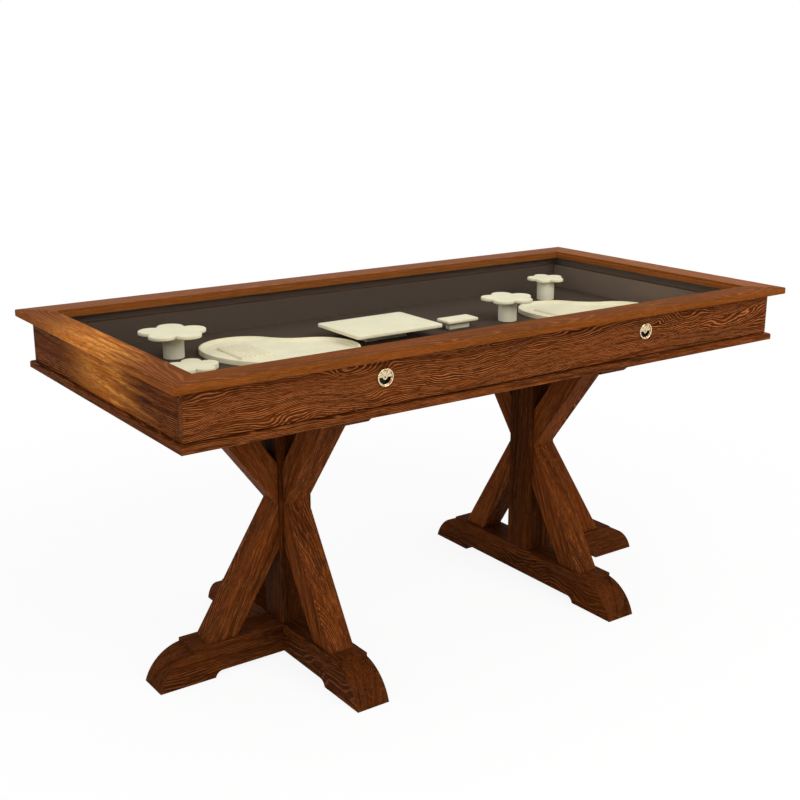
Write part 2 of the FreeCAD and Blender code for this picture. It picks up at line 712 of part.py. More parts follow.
bolts = new_body("cleat_bolts")
heads = new_sketch(bolts, "XY_Plane", cleat_underside)
corner = dim.bolt_head_radius
beside = corner / 2
across = corner * cosine(30)
for post_x, out in ((-pedestal_x, -1), (pedestal_x, 1)):
    for x, y in ((post_x, -dim.bolt_reach), (post_x, dim.bolt_reach), (post_x + out * dim.bolt_reach, 0)):
        add_outline(heads, [(x + corner, y), (x + beside, y + across), (x - beside, y + across),
                            (x - corner, y), (x - beside, y - across), (x + beside, y - across)])
pad(bolts, heads, dim.bolt_head_height, reverse=True)


# ------------------------------------------------------------------ display stands and trays

def flower(label, radius, circle, thickness, height, x, y, column=None):
    """A plate of round petals, on a column where it stands high."""
    body = new_body(label)
    underside = height - thickness
    if column is not None:
        foot = new_sketch(body, "XY_Plane")
        add_circle(foot, 0, 0, column)
        pad(body, foot, underside)
    middle = new_sketch(body, "XY_Plane", underside)
    add_circle(middle, 0, 0, circle * cosine(180 / dim.petals))
    pad(body, middle, thickness)
    petal = new_sketch(body, "XY_Plane", underside)
    add_circle(petal, circle, 0, radius)
    petal_pad = pad(body, petal, thickness)
    pattern = body.newObject("PartDesign::PolarPattern", "Petals")
    pattern.Originals = [petal_pad]
    pattern.Axis = (petal, ["N_Axis"])
    pattern.Angle = 360
    pattern.setExpression("Occurrences", str(dim.petals))
    body.Tip = pattern
    doc.recompute()
    place(body, x, y, drawer_floor)
    return body


leaf_right_place = drawer_side_inner + dim.leaf_right_x
stand_right_place = (dim.small_x + leaf_right_place) / 2 + dim.stand_right_x
for name, x, y in (("left", dim.stand_left_x, dim.stand_left_y),
                   ("right", stand_right_place, dim.stand_right_y),
                   ("rear", drawer_side_inner + dim.stand_rear_x, dim.stand_rear_y)):
    flower(f"flower_stand_{name}", dim.petal_radius, dim.petal_circle, dim.stand_plate,
           dim.stand_height, x, y, dim.stand_column_radius)

lobe_middle = -dim.leaf_spacing


def curve_middle(to_large, to_small):
    """The middle of a curve that meets both lobes, from its distances to their middles: its
    place along the leaf, and how far it lies to the rear."""
    along = (squares(to_small) - squares(dim.leaf_spacing, to_large)) / (2 * dim.leaf_spacing)
    return along, root(squares(to_large) - squares(along))


def leaf_outline(inset):
    """Two round lobes with a dip between them on the rear side and one full curve over both
    on the front side, drawn in from the outside by the inset."""
    large = dim.leaf_radius - inset
    small = dim.leaf_small_radius - inset
    dip_large = dim.leaf_radius + dim.leaf_dip_radius
    dip_small = dim.leaf_small_radius + dim.leaf_dip_radius
    dip_x, dip_rise = curve_middle(dip_large, dip_small)
    full_large = dim.leaf_front_radius - dim.leaf_radius
    full_small = dim.leaf_front_radius - dim.leaf_small_radius
    full_x, full_rise = curve_middle(full_large, full_small)
    small_front_x = lobe_middle + small * (lobe_middle - full_x) / full_small
    small_rear_x = lobe_middle + small * (dip_x - lobe_middle) / dip_small
    return [(large * dip_x / dip_large, -large * dip_rise / dip_large, large, -1),
            (-large * full_x / full_large, large * full_rise / full_large,
             dim.leaf_front_radius - inset, -1),
            (small_front_x, small * full_rise / full_small, small, -1),
            (small_rear_x, -small * dip_rise / dip_small, dim.leaf_dip_radius + inset, 1)]


def leaf_tray(label, x, y, turn):
    """A shallow dish with two lobes."""
    body = new_body(label)
    outside = new_sketch(body, "XY_Plane")
    add_outline(outside, leaf_outline(0))
    pad(body, outside, dim.leaf_height)
    hollow = new_sketch(body, "XY_Plane", dim.leaf_height)
    add_outline(hollow, leaf_outline(dim.leaf_wall))
    pocket(body, hollow, dim.leaf_height - dim.leaf_floor)
    place(body, x, y, drawer_floor, turn)


leaf_tray("leaf_tray_left", dim.leaf_left_x, dim.leaf_left_y, dim.leaf_left_turn)
leaf_tray("leaf_tray_right", leaf_right_place, dim.leaf_right_y, dim.leaf_right_turn)


def raised_tray(label, length, depth, corner, thickness, height, inset, bevel, x, y):
    """A thin slab with round corners on a smaller block."""
    body = new_body(label)
    underside = height - thickness
    slab = new_sketch(body, "XY_Plane", underside)
    add_outline(slab, rectangle(-length / 2, -depth / 2, length / 2, depth / 2))
    pad(body, slab, thickness)
    dress(body, "Fillet", corner, lambda edge: runs_along(edge, ALONG_Z))
    top = float(height) - 0.01
    dress(body, "Chamfer", bevel, lambda edge: box_at(edge).ZMin > top)
    block = new_sketch(body, "XY_Plane")
    block_x = length / 2 - inset
    block_y = depth / 2 - inset
    add_outline(block, rectangle(-block_x, -block_y, block_x, block_y))
    pad(body, block, underside)
    place(body, x, y, drawer_floor)
    return body


raised_tray("centre_tray", dim.centre_length, dim.centre_depth, dim.centre_corner, dim.centre_thickness,
            dim.centre_height, dim.centre_inset, dim.centre_bevel, dim.centre_x, dim.centre_y)

low_plates = doc.addObject("Part::Compound", "low_plates")
low_plates.Links = [
    flower("low_flower", dim.low_petal_radius, dim.low_petal_circle, dim.low_plate_height,
           dim.low_plate_height, dim.low_left_x, dim.low_left_y),
    raised_tray("small_tray", dim.small_length, dim.small_depth, dim.small_corner, dim.small_thickness,
                dim.small_height, dim.small_inset, dim.small_bevel, dim.small_x, dim.small_y)]


# ------------------------------------------------------------------ check and export

doc.recompute()
for item in doc.Objects:
    if "Invalid" in item.State or "Error" in item.State:
        raise ValueError(f"{item.Label} failed: {item.State}")

kinds = ("PartDesign::Body", "Part::Box", "Part::Compound")
parts = [item for item in doc.Objects if item.TypeId in kinds and item not in low_plates.Links]
for item in parts:
    if item.Shape.isNull() or not item.Shape.isValid():
        raise ValueError(f"{item.Label} has no valid shape")

os.makedirs("parts", exist_ok=True)
for item in parts:
    item.Shape.exportStep(f"parts/{item.Label}.step")
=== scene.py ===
import bmesh
import bpy
import math
from mathutils import Matrix, Vector


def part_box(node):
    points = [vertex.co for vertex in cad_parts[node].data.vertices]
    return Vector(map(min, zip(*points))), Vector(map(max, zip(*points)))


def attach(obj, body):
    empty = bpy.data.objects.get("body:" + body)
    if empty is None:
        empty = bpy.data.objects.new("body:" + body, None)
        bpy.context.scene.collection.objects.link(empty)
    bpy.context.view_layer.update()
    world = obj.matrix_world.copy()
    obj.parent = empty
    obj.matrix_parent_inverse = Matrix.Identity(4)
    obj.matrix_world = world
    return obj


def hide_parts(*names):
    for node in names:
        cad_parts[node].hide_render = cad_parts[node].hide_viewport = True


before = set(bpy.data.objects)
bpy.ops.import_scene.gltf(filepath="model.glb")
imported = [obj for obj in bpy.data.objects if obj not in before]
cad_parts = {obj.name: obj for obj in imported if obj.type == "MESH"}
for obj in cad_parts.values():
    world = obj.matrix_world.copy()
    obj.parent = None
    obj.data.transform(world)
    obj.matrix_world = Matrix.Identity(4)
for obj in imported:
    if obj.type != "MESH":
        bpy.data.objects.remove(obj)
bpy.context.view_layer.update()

# ---------------------------------------------------------------- pedestals
# Two mirrored underframes of solid oak: a square post, feet with stepped round noses, slanting braces
# and the cleats under the case. Each timber is planed, its arrises are eased, and it is stained a
# reddish brown that leaves the growth rings as thin light lines under a dull wax.

X = Vector((1, 0, 0))
Y = Vector((0, 1, 0))
Z = Vector((0, 0, 1))


class Wire:
    """One socket of a material; sums and products on it add Math nodes."""

    def __init__(self, tree, socket):
        self.tree = tree
        self.socket = socket

    def node(self, kind, settings, sockets, output=0):
        """A node: its settings are made first, then its sockets take values or wires."""
        made = self.tree.nodes.new("ShaderNode" + kind)
        for name, value in settings.items():
            setattr(made, name, value)
        for name, value in sockets.items():
            if isinstance(value, Wire):
                self.tree.links.new(value.socket, made.inputs[name])
            else:
                made.inputs[name].default_value = value
        return Wire(self.tree, made.outputs[output] if made.outputs else None)

    def math(self, operation, *values):
        return self.node("Math", {"operation": operation}, dict(enumerate(values)))

    def __add__(self, other):
        return self.math("ADD", self, other)

    def __sub__(self, other):
        return self.math("SUBTRACT", self, other)

    def __rsub__(self, other):
        return self.math("SUBTRACT", other, self)

    def __mul__(self, other):
        return self.math("MULTIPLY", self, other)

    def __truediv__(self, other):
        return self.math("DIVIDE", self, other)

    def __pow__(self, other):
        return self.math("POWER", self, other)

    __radd__ = __add__
    __rmul__ = __mul__


def paint(red, green, blue):
    """A colour as a painter mixes it on a screen, each part from 0 to 255."""
    shares = (part / 255 for part in (red, green, blue))
    return *(s / 12.92 if s <= 0.04045 else ((s + 0.055) / 1.055) ** 2.4 for s in shares), 1


def shaded(colour, shade):
    """A colour made darker or lighter by a number."""
    return *(part * shade for part in colour[:3]), 1


def new_material(name):
    """An empty material, given with the wire of the place that is being coloured, in metres."""
    material = bpy.data.materials.new(name)
    material.use_nodes = True
    material.node_tree.nodes.clear()
    return material, Wire(material.node_tree, None).node("TexCoord", {}, {}, "Object")


def finish_material(place, shader):
    place.node("OutputMaterial", {}, {"Surface": shader})


def ramp(value, low, high):
    """0 below low, 1 above high, and an even curve between."""
    return value.node("MapRange", {"interpolation_type": "SMOOTHSTEP"}, {0: value, 1: low, 2: high})


def along(place, axis):
    """How far the place lies along an axis."""
    return place.node("VectorMath", {"operation": "DOT_PRODUCT"}, {0: place, 1: axis}, 1)


def mix(share, below, above, how="MIX"):
    """Two colours mixed by a wire or a plain number from 0 to 1."""
    wire = share if isinstance(share, Wire) else below
    return wire.node("Mix", {"data_type": "RGBA", "blend_type": how}, {0: share, 6: below, 7: above}, 2)


def mottle(x, y, z, detail=2.0, rough=0.5):
    """Cloudy noise from 0 to 1 at a place given by a wire and two wires or numbers."""
    spot = x.node("CombineXYZ", {}, {0: x, 1: y, 2: z})
    return x.node("TexNoise", {}, {"Vector": spot, "Scale": 1.0, "Detail": detail, "Roughness": rough})


def dress(name, material):
    """A node of the frame takes a material."""
    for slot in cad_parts[name].material_slots:
        slot.material = material


EASED_EDGE = 0.0011
STAIN_DARK = paint(59, 28, 8)
STAIN_RED = paint(90, 42, 12)
STAIN_GOLD = paint(114, 62, 18)
# the next two: warm stain that is also the base of the painted warm highlight, and that highlight's brightest
# colour
WARM_STAIN_AND_HIGHLIGHT = paint(184, 104, 32)
HIGHLIGHT_BRIGHT = paint(236, 160, 70)
ARRIS_WEAR_AND_HIGHLIGHT = paint(134, 78, 34)
RING_LIGHT = paint(180, 108, 62)
PORE_DARK = paint(24, 10, 4)
FLOCK = paint(79, 66, 57)

# the tree: the gap between its rings, how far slow growth, knots and ripples bend them, how much of
# the bend goes into the depth, and how much the trunk leans in the board
RING_GAP = 0.0028
SLOW_BEND = 0.085
KNOT_BEND = 0.034
RIPPLE_BEND = 0.0016
BEND_IN_DEPTH = 0.6
TRUNK_LEAN = 0.03

# marks in the wood and its stain: cells to the metre along and across the grain, detail, roughness
SLOW_GROWTH = (2.3, 6, 1.0, 0.5)
KNOTS = (7, 15, 1.5, 0.5)
RIPPLES = (45, 140, 1.0, 0.5)
PORES = (130, 1100, 1.0, 0.5)
FLECKS = (38, 420, 2.0, 0.5)
CLOUDS = (3.5, 17, 3.0, 0.6)
STREAKS = (9, 130, 2.0, 0.5)


def oak(node, grain, face, heart=(0.10, 0.07), swirl=1.0, rings=0.75, tone=1.0, gold=0.0, warm_highlight=None,
        lining=None, gloss=0.006):
    """Stained oak for one board: grain runs along the board, and face is the way its broad side looks.
    heart is how far the tree's middle lies beside and behind the board's middle, swirl is how much the
    rings bend, and rings is how light they stand out. tone darkens all of it, and gold is the share of
    warm stain, which on the top rails also stands for part of a painted sheen. glow is a painted warm
    highlight: its place along the Y axis, its reach and its strength. lining is the way a side covered
    with flock looks and a shade for the flock, which above 1 is painted light on walls that lie in
    shade, and gloss is how much the wax shines."""
    material, place = new_material("oak_" + node)
    low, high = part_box(node)
    middle = (low + high) / 2
    side = grain.cross(face)
    length = along(place, grain) - grain.dot(middle)
    width = along(place, side) - side.dot(middle)
    depth = along(place, face) - face.dot(middle)
    seed = 7.31 * (sum(map(ord, node)) % 97)

    def marks(lengthwise, crosswise, detail, rough):
        """Noise that is drawn out along the grain."""
        return mottle(length * lengthwise + seed, width * crosswise, depth * crosswise, detail, rough)

    # the tree's rings: even shells round its middle, each with its own strength
    slow = marks(*SLOW_GROWTH) - 0.5
    knots = marks(*KNOTS) - 0.5
    ripples = marks(*RIPPLES) - 0.5
    bend = slow * (SLOW_BEND * swirl) + knots * (KNOT_BEND * swirl) + ripples * RIPPLE_BEND
    beside = width - heart[0] + bend
    behind = depth + heart[1] + bend * BEND_IN_DEPTH + length * TRUNK_LEAN
    shells = (beside * beside + behind * behind) ** 0.5 / RING_GAP
    turn = shells.math("FRACT", shells)
    strength_of_each = mottle(shells * 0.37, seed, 0, 0.0)
    line = ramp(turn, 0.50, 0.74) * (1 - ramp(turn, 0.80, 1.0)) * ramp(strength_of_each, 0.25, 0.55)

    # pores and flecks: short strokes that run with the grain, and break the rings' lines
    pores = ramp(marks(*PORES), 0.60, 0.72)
    flecks = marks(*FLECKS)
    line = line * ramp(flecks, 0.28, 0.52)

    # the stain: darker and lighter clouds and streaks, and a painted warm highlight
    cloud = marks(*CLOUDS)
    streak = marks(*STREAKS)
    colour = mix(ramp(cloud * 0.6 + streak * 0.4, 0.34, 0.62), STAIN_DARK, STAIN_RED)
    colour = mix(ramp(streak, 0.50, 0.80) * 0.55, colour, STAIN_GOLD)
    if gold:
        colour = mix(gold, colour, WARM_STAIN_AND_HIGHLIGHT)
    # a painted highlight: a warm pool of light along the Y axis, broken by clouds and flecks
    if warm_highlight:
        spot, reach, strength = warm_highlight
        away = along(place, Y) - spot + slow * 0.2 + (streak - 0.5) * 0.3
        highlight_mask = 1 - ramp(away.math("ABSOLUTE", away), 0.0, reach)
        highlight_colour = mix(ramp(cloud * 0.4 + streak * 0.6, 0.42, 0.62), WARM_STAIN_AND_HIGHLIGHT, HIGHLIGHT_BRIGHT)
        colour = mix(highlight_mask * strength, colour, highlight_colour)
        colour = mix(ramp(flecks, 0.50, 0.62) * 0.6, colour, STAIN_RED)

    # the light lines, the flecks and pores in them, and the arrises, lightened by rubbed wear and as a
    # painted edge highlight
    colour = mix(line * rings, colour, RING_LIGHT)
    colour = mix(ramp(flecks, 0.56, 0.72) * 0.22, colour, RING_LIGHT)
    colour = mix(pores * 0.5, colour, PORE_DARK)
    rounded = place.node("Bevel", {"samples": 4}, {"Radius": EASED_EDGE})
    flat = place.node("NewGeometry", {}, {}, "Normal")
    arris = 1 - place.node("VectorMath", {"operation": "DOT_PRODUCT"}, {0: rounded, 1: flat}, 1)
    # arrises lightened: rubbed wear and a painted edge highlight
    colour = mix(ramp(arris, 0.02, 0.22) * 0.45, colour, ARRIS_WEAR_AND_HIGHLIGHT)
    colour = mix(1.0, colour, (tone, tone, tone, 1), "MULTIPLY")
    rough = 0.46 + streak * 0.12 - line * 0.06
    relief = line * 0.5 - pores * 0.9 + streak * 0.25

    if lining:
        # the flock's shade: above 1 it is painted light on walls that lie in shade
        way, shade = lining
        surface = max(low.dot(way), high.dot(way))
        lined = ramp(along(place, way) - surface, -0.0004, -0.0002)
        colour = mix(lined, colour, shaded(FLOCK, shade))
        rough = rough + lined * 0.4
        relief = relief * (1 - lined)
    bump = place.node("Bump", {}, {"Strength": 0.35, "Distance": 0.0004, "Height": relief, "Normal": rounded})
    finish_material(place, place.node("BsdfPrincipled", {}, {
        "Base Color": colour, "Roughness": rough, "Normal": bump, "Specular IOR Level": gloss}))
    dress(node, material)


# how much of a brace's box its middle line runs through, sideways and upwards
BRACE_RUN = 0.62
BRACE_RISE = 0.9

for hand, outward in (("left", -X), ("right", X)):
    # the posts are darkened as painted shade, for the shade under the case
    oak(f"{hand}_post", Z, Y, rings=0.3, tone=0.52)
    for timber in ("foot", "cleat"):
        oak(f"{hand}_{timber}_depth", Y, Z, rings=0.35, tone=0.62)
        oak(f"{hand}_{timber}_out", X, Z, rings=0.35, tone=0.62)
    for arm, lean in (("front", -Y), ("back", Y), ("out", outward)):
        for part, rise in (("lower", -Z), ("upper", Z)):
            node = f"{hand}_brace_{part}_{arm}"
            low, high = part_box(node)
            run = max(high.x - low.x, high.y - low.y)
            height = high.z - low.z
            grain = (lean * run * BRACE_RUN + rise * height * BRACE_RISE).normalized()
            face = lean.cross(grain).normalized()
            oak(node, grain, face, rings=0.3, tone=1.12)

# ---------------------------------------------------------------- case
# A shallow box of oak boards on a plywood floor, with a mitred moulding that projects all round below.
# Its inner sides are covered with a dark flocked paper, painted lighter on the right side and the
# back as painted light where they lie in shade. The middle of the left end carries a painted warm
# highlight.

for side in ("front", "back"):
    oak(f"base_moulding_{side}", X, Z, heart=(0.02, 0.12), rings=0.5, tone=1.02)
for side in ("left", "right"):
    oak(f"base_moulding_{side}", Y, Z, heart=(0.02, 0.12), rings=0.5, tone=0.72)
# a painted warm highlight in the middle of the left end
oak("case_side_left", Y, X, tone=0.72, warm_highlight=(-0.02, 0.26, 0.95), lining=(X, 1.0))
# right side and back: the flock is made lighter as painted light, where these walls lie in shade
oak("case_side_right", Y, X, heart=(-0.02, 0.05), tone=0.85, lining=(-X, 2.2))
oak("case_back", X, Y, heart=(0.03, 0.05), tone=0.85, lining=(-Y, 1.6))
oak("case_bottom", X, Z, swirl=0.4, rings=0.3, tone=0.6)
oak("front_stretcher", X, Y, swirl=0.5, tone=0.6)

# ---------------------------------------------------------------- drawer
# One wide drawer. Its oak front is a single board that shows the grain best; behind it a plain box of
# thin boards, lined with the same dark flock, holds the display.

oak("drawer_front", X, -Y, heart=(-0.11, 0.05), swirl=1.25, rings=0.95, tone=0.84, lining=(Y, 1.0))
oak("drawer_side_left", Y, X, swirl=0.4, lining=(X, 1.0))
# right side: the flock is made lighter as painted light, where this wall lies in shade
oak("drawer_side_right", Y, X, swirl=0.4, lining=(-X, 2.2))
oak("drawer_back", X, Y, swirl=0.4, lining=(-Y, 1.0))
oak("drawer_bottom", X, Z, swirl=0.4, lining=(Z, 1.0))

# ---------------------------------------------------------------- runners, bolts and buffers
# Bought-in fittings: zinc-plated steel channels that slide in one another, hexagon heads of the bolts
# that go up through the cleats, and felt pads that the drawer's front closes on.


def speckle(place, scale, detail):
    """Cloudy noise from 0 to 1 that is alike every way, with scale cells to the metre."""
    return place.node("TexNoise", {}, {"Vector": place, "Scale": scale, "Detail": detail, "Roughness": 0.5})


def steel(name, tint, rough):
    """Plated steel, faintly brushed across the runners' length and clouded."""
    material, place = new_material(name)
    brush = mottle(along(place, X) * 900, along(place, Y) * 12, along(place, Z) * 900)
    colour = mix(speckle(place, 30, 3.0), tint, shaded(tint, 0.75))
    bump = place.node("Bump", {}, {"Strength": 0.15, "Distance": 0.0002, "Height": brush})
    finish_material(place, place.node("BsdfPrincipled", {}, {
        "Base Color": colour, "Metallic": 1.0, "Roughness": rough + brush * 0.15, "Normal": bump}))
    return material


runner_steel = steel("runner_steel", paint(186, 188, 190), 0.28)
for side in ("left", "right"):
    for member in ("outer", "middle", "inner"):
        dress(f"runner_{member}_{side}", runner_steel)
dress("cleat_bolts", steel("bolt_steel", paint(120, 118, 114), 0.38))

buffer_felt, place = new_material("buffer_felt")
fibre = speckle(place, 1500, 3.0)
bump = place.node("Bump", {}, {"Strength": 0.6, "Distance": 0.0004, "Height": fibre})
finish_material(place, place.node("BsdfPrincipled", {}, {
    "Base Color": mix(fibre, paint(52, 42, 36), paint(84, 70, 60)), "Roughness": 0.95, "Normal": bump}))
dress("drawer_buffers", buffer_felt)

# ---------------------------------------------------------------- ring pulls
# Flush pulls turned from pale brass: a round plate with a half-moon finger cup, and a wire ring that
# hangs in the lug on top. The cup is painted black, a painted shade for its recess, and the plate is
# polished in rays and lacquered.

PLATE_PROUD = 0.0012
CUP_RADIUS = 0.0155
PLATE_RAYS = 3.4
RAY_SHADE = paint(176, 144, 94)
CUP_SHADE = paint(12, 9, 6)


def brass(name, plate=None):
    """Polished pale brass. A plate, given by its node, is brushed in rays from its middle, and the cup
    in it is painted black, a painted shade for its recess."""
    material, place = new_material(name)
    cloud = speckle(place, 160, 3.0)
    colour = mix(cloud, paint(255, 240, 208), paint(240, 216, 172))
    rough = 0.16 + cloud * 0.12
    metal = 1.0
    if plate:
        low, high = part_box(plate)
        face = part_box("drawer_front")[0].y - PLATE_PROUD
        across = along(place, X) - (low.x + high.x) / 2
        up = along(place, Z) - low.z - (high.x - low.x) / 2
        rays = mottle(across.math("ARCTAN2", across, up) * PLATE_RAYS, 0, 0)
        colour = mix(ramp(rays, 0.42, 0.58), colour, RAY_SHADE)
        # the finger cup painted black, a painted shade for its recess
        cup_shade = ramp(along(place, Y), face + 0.0001, face + 0.0003)
        cup_shade = cup_shade * (1 - ramp((across * across + up * up) ** 0.5, CUP_RADIUS, CUP_RADIUS + 0.0002))
        colour = mix(cup_shade, colour, CUP_SHADE)
        rough = rough + cup_shade * 0.4
        metal = 1 - cup_shade
    rounded = place.node("Bevel", {"samples": 6}, {"Radius": 0.0004})
    bump = place.node("Bump", {}, {"Strength": 0.08, "Distance": 0.0002, "Height": cloud, "Normal": rounded})
    finish_material(place, place.node("BsdfPrincipled", {}, {
        "Base Color": colour, "Metallic": metal, "Roughness": rough, "Normal": bump}))
    return material


def new_piece(name, mesh, material, smooth=True):
    """A mesh becomes a piece with its material."""
    data = bpy.data.meshes.new(name)
    mesh.to_mesh(data)
    mesh.free()
    data.materials.append(material)
    if smooth:
        data.shade_smooth()
    piece = bpy.data.objects.new(name, data)
    bpy.context.scene.collection.objects.link(piece)
    return piece


def loft(mesh, rings, closed=False):
    """Skin over rings of points, each with as many points; the ends are filled unless the loft closes
    on itself."""
    rows = [[mesh.verts.new(point) for point in ring] for ring in rings]
    pairs = list(zip(rows, rows[1:])) + ([(rows[-1], rows[0])] if closed else [])
    for row, following in pairs:
        for i in range(len(row)):
            j = (i + 1) % len(row)
            mesh.faces.new((row[i], row[j], following[j], following[i]))
    if not closed:
        mesh.faces.new(rows[0][::-1])
        mesh.faces.new(rows[-1])


RING_WIRE = 0.0010
BEND_STEPS = 96
BAR_STEPS = 12
WIRE_SIDES = 16

ring_brass = brass("ring_brass")
for side in ("left", "right"):
    low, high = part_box(f"pull_ring_{side}")
    radius = (high.x - low.x) / 2 - RING_WIRE
    centre = Vector(((low.x + high.x) / 2, high.y - RING_WIRE, low.z + RING_WIRE + radius))
    bar_height = high.z - RING_WIRE - centre.z
    bar_end = math.acos(bar_height / radius)
    path = []
    for step in range(BEND_STEPS + 1):
        angle = bar_end + (2 * math.pi - 2 * bar_end) * step / BEND_STEPS
        path.append(centre + (X * math.sin(angle) + Z * math.cos(angle)) * radius)
    bar = path[0] - path[-1]
    path += [path[-1] + bar * step / BAR_STEPS for step in range(1, BAR_STEPS)]
    rings = []
    for i, point in enumerate(path):
        ahead = (path[(i + 1) % len(path)] - path[i - 1]).normalized()
        out = ahead.cross(Y)
        rings.append([point + (out * math.cos(turn) + Y * math.sin(turn)) * RING_WIRE
                      for turn in (2 * math.pi * k / WIRE_SIDES for k in range(WIRE_SIDES))])
    mesh = bmesh.new()
    loft(mesh, rings, closed=True)
    bmesh.ops.recalc_face_normals(mesh, faces=mesh.faces)
    ring = new_piece(f"pull_ring_wire_{side}", mesh, ring_brass)
    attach(ring, f"pull_{side}")
    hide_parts(f"pull_ring_{side}")
    dress(f"pull_plate_{side}", brass(f"plate_brass_{side}", f"pull_plate_{side}"))

# ---------------------------------------------------------------- flower stands
# Three loose stands in the drawer: a thick plate of five round petals on a column, both of board
# covered in cream velveteen that is drawn round every edge. The rear stand has the smallest plate.


def velveteen(name, light, dark):
    """Short cream pile: soft clouds where it was stroked, a fine nap and hardly any shine."""
    material, place = new_material(name)
    stroked = speckle(place, 22, 3.0)
    nap = speckle(place, 1300, 2.0)
    colour = mix(ramp(stroked * 0.7 + nap * 0.3, 0.3, 0.7), dark, light)
    bump = place.node("Bump", {}, {"Strength": 0.5, "Distance": 0.0003, "Height": nap})
    finish_material(place, place.node("BsdfPrincipled", {}, {
        "Base Color": colour, "Roughness": 0.9, "Normal": bump,
        "Sheen Weight": 0.25, "Sheen Roughness": 0.5, "Specular IOR Level": 0.2}))
    return material


def lay_in_drawer(piece, node):
    """A covered piece lies in the drawer and takes the place of its plain solid."""
    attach(piece, "drawer")
    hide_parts(node)


def rounded_edge(low, high, radius, steps=5):
    """(inset, height) pairs up a side whose lower and upper edges are rounded."""
    turns = [math.pi / 2 * step / steps for step in range(steps + 1)]
    under = [(radius * (1 - math.sin(t)), low + radius * (1 - math.cos(t))) for t in turns]
    return under + [(inset, high + low - height) for inset, height in reversed(under)]


cream = velveteen("cream_velveteen", paint(233, 222, 192), paint(223, 212, 180))
column_cream = velveteen("column_velveteen", paint(236, 227, 204), paint(224, 214, 188))
PETALS = 5
PETAL_EDGE = 0.0026
CROWN = 0.0006


def flower_ring(middle, petal, circle, inset, height, points=180):
    """The outline of a plate of round petals set on a circle, drawn in by an inset."""
    ring = []
    sector = 2 * math.pi / PETALS
    for i in range(points):
        angle = 2 * math.pi * i / points
        off = (angle + sector / 2) % sector - sector / 2
        reach = max((petal - inset) ** 2 - (circle * math.sin(off)) ** 2, 0)
        distance = circle * math.cos(off) + math.sqrt(reach)
        ring.append(Vector((middle.x + distance * math.cos(angle), middle.y + distance * math.sin(angle),
                            height)))
    return ring


def circle_ring(middle, radius, height, points=72):
    return [Vector((middle.x + radius * math.cos(2 * math.pi * i / points),
                    middle.y + radius * math.sin(2 * math.pi * i / points), height)) for i in range(points)]


def flower_plate(mesh, middle, petal, circle, low, high):
    """A thick plate of petals: rounded rim, and a top that crowns gently to its middle."""
    rings = [flower_ring(middle, petal, circle, inset, height)
             for inset, height in rounded_edge(low, high - CROWN, PETAL_EDGE)]
    rim = rings[-1]
    for share in (0.96, 0.85, 0.6, 0.3, 0.06):
        rise = CROWN * math.cos(share * math.pi / 2)
        rings.append([Vector((middle.x + (p.x - middle.x) * share, middle.y + (p.y - middle.y) * share,
                              p.z + rise)) for p in rim])
    loft(mesh, rings)


PETAL_RADIUS = 0.030
PETAL_CIRCLE = 0.046
STAND_PLATE = 0.009
COLUMN_RADIUS = 0.023
COLUMN_EDGE = 0.0008

for side, share, nudge in (("left", 1.0, 0.0), ("right", 0.88, 0.006), ("rear", 0.66, 0.0)):
    low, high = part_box(f"flower_stand_{side}")
    middle = Vector((high.x - PETAL_CIRCLE - PETAL_RADIUS + nudge, (low.y + high.y) / 2, 0))
    plate_under = high.z - STAND_PLATE
    mesh = bmesh.new()
    flower_plate(mesh, middle, PETAL_RADIUS * share, PETAL_CIRCLE * share, plate_under, high.z)
    lay_in_drawer(new_piece(f"flower_top_{side}", mesh, cream), f"flower_stand_{side}")
    mesh = bmesh.new()
    loft(mesh, [circle_ring(middle, COLUMN_RADIUS - inset, height)
                for inset, height in rounded_edge(low.z, plate_under, COLUMN_EDGE, 3)])
    lay_in_drawer(new_piece(f"flower_column_{side}", mesh, column_cream), f"flower_stand_{side}")

# ---------------------------------------------------------------- low plate and raised trays
# A low plate of petals in the left corner, and two slabs on smaller blocks: a wide one in the middle
# of the drawer and a small one at its right. All are covered like the stands.

LOW_PETAL = 0.022
LOW_CIRCLE = 0.034
LOW_HEIGHT = 0.014

low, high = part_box("low_plates")
span = flower_ring(Vector((0, 0, 0)), LOW_PETAL, LOW_CIRCLE, 0, 0)
middle = Vector((low.x - min(point.x for point in span), high.y - max(point.y for point in span), 0))
mesh = bmesh.new()
flower_plate(mesh, middle, LOW_PETAL, LOW_CIRCLE, low.z, low.z + LOW_HEIGHT)
lay_in_drawer(new_piece("low_flower", mesh, cream), "low_plates")


def slab_ring(middle, length, depth, corner, inset, height, steps=8):
    """The outline of a slab with round corners, drawn in by an inset."""
    ring = []
    for number, (right, back) in enumerate(((1, 1), (-1, 1), (-1, -1), (1, -1))):
        for step in range(steps + 1):
            angle = math.pi / 2 * (number + step / steps)
            ring.append(Vector((middle.x + right * (length / 2 - corner) + (corner - inset) * math.cos(angle),
                                middle.y + back * (depth / 2 - corner) + (corner - inset) * math.sin(angle),
                                height)))
    return ring


SLAB_EDGE = 0.002
BLOCK_CORNER = 0.002
BLOCK_EDGE = 0.0005


def raised_slab(mesh, middle, length, depth, corner, low, thickness, high, block_inset):
    """A thin covered slab with soft edges on a smaller block."""
    under = high - thickness
    loft(mesh, [slab_ring(middle, length, depth, corner, inset, height)
                for inset, height in rounded_edge(under, high, SLAB_EDGE)])
    block_length = length - 2 * block_inset
    block_depth = depth - 2 * block_inset
    loft(mesh, [slab_ring(middle, block_length, block_depth, BLOCK_CORNER, inset, height)
                for inset, height in rounded_edge(low, under, BLOCK_EDGE, 2)])


SMALL_LENGTH = 0.092
SMALL_DEPTH = 0.050
SMALL_CORNER = 0.005
SMALL_THICKNESS = 0.007
SMALL_BLOCK_INSET = 0.016
SMALL_FROM_RIGHT = 0.039
SMALL_FROM_FRONT = 0.0685

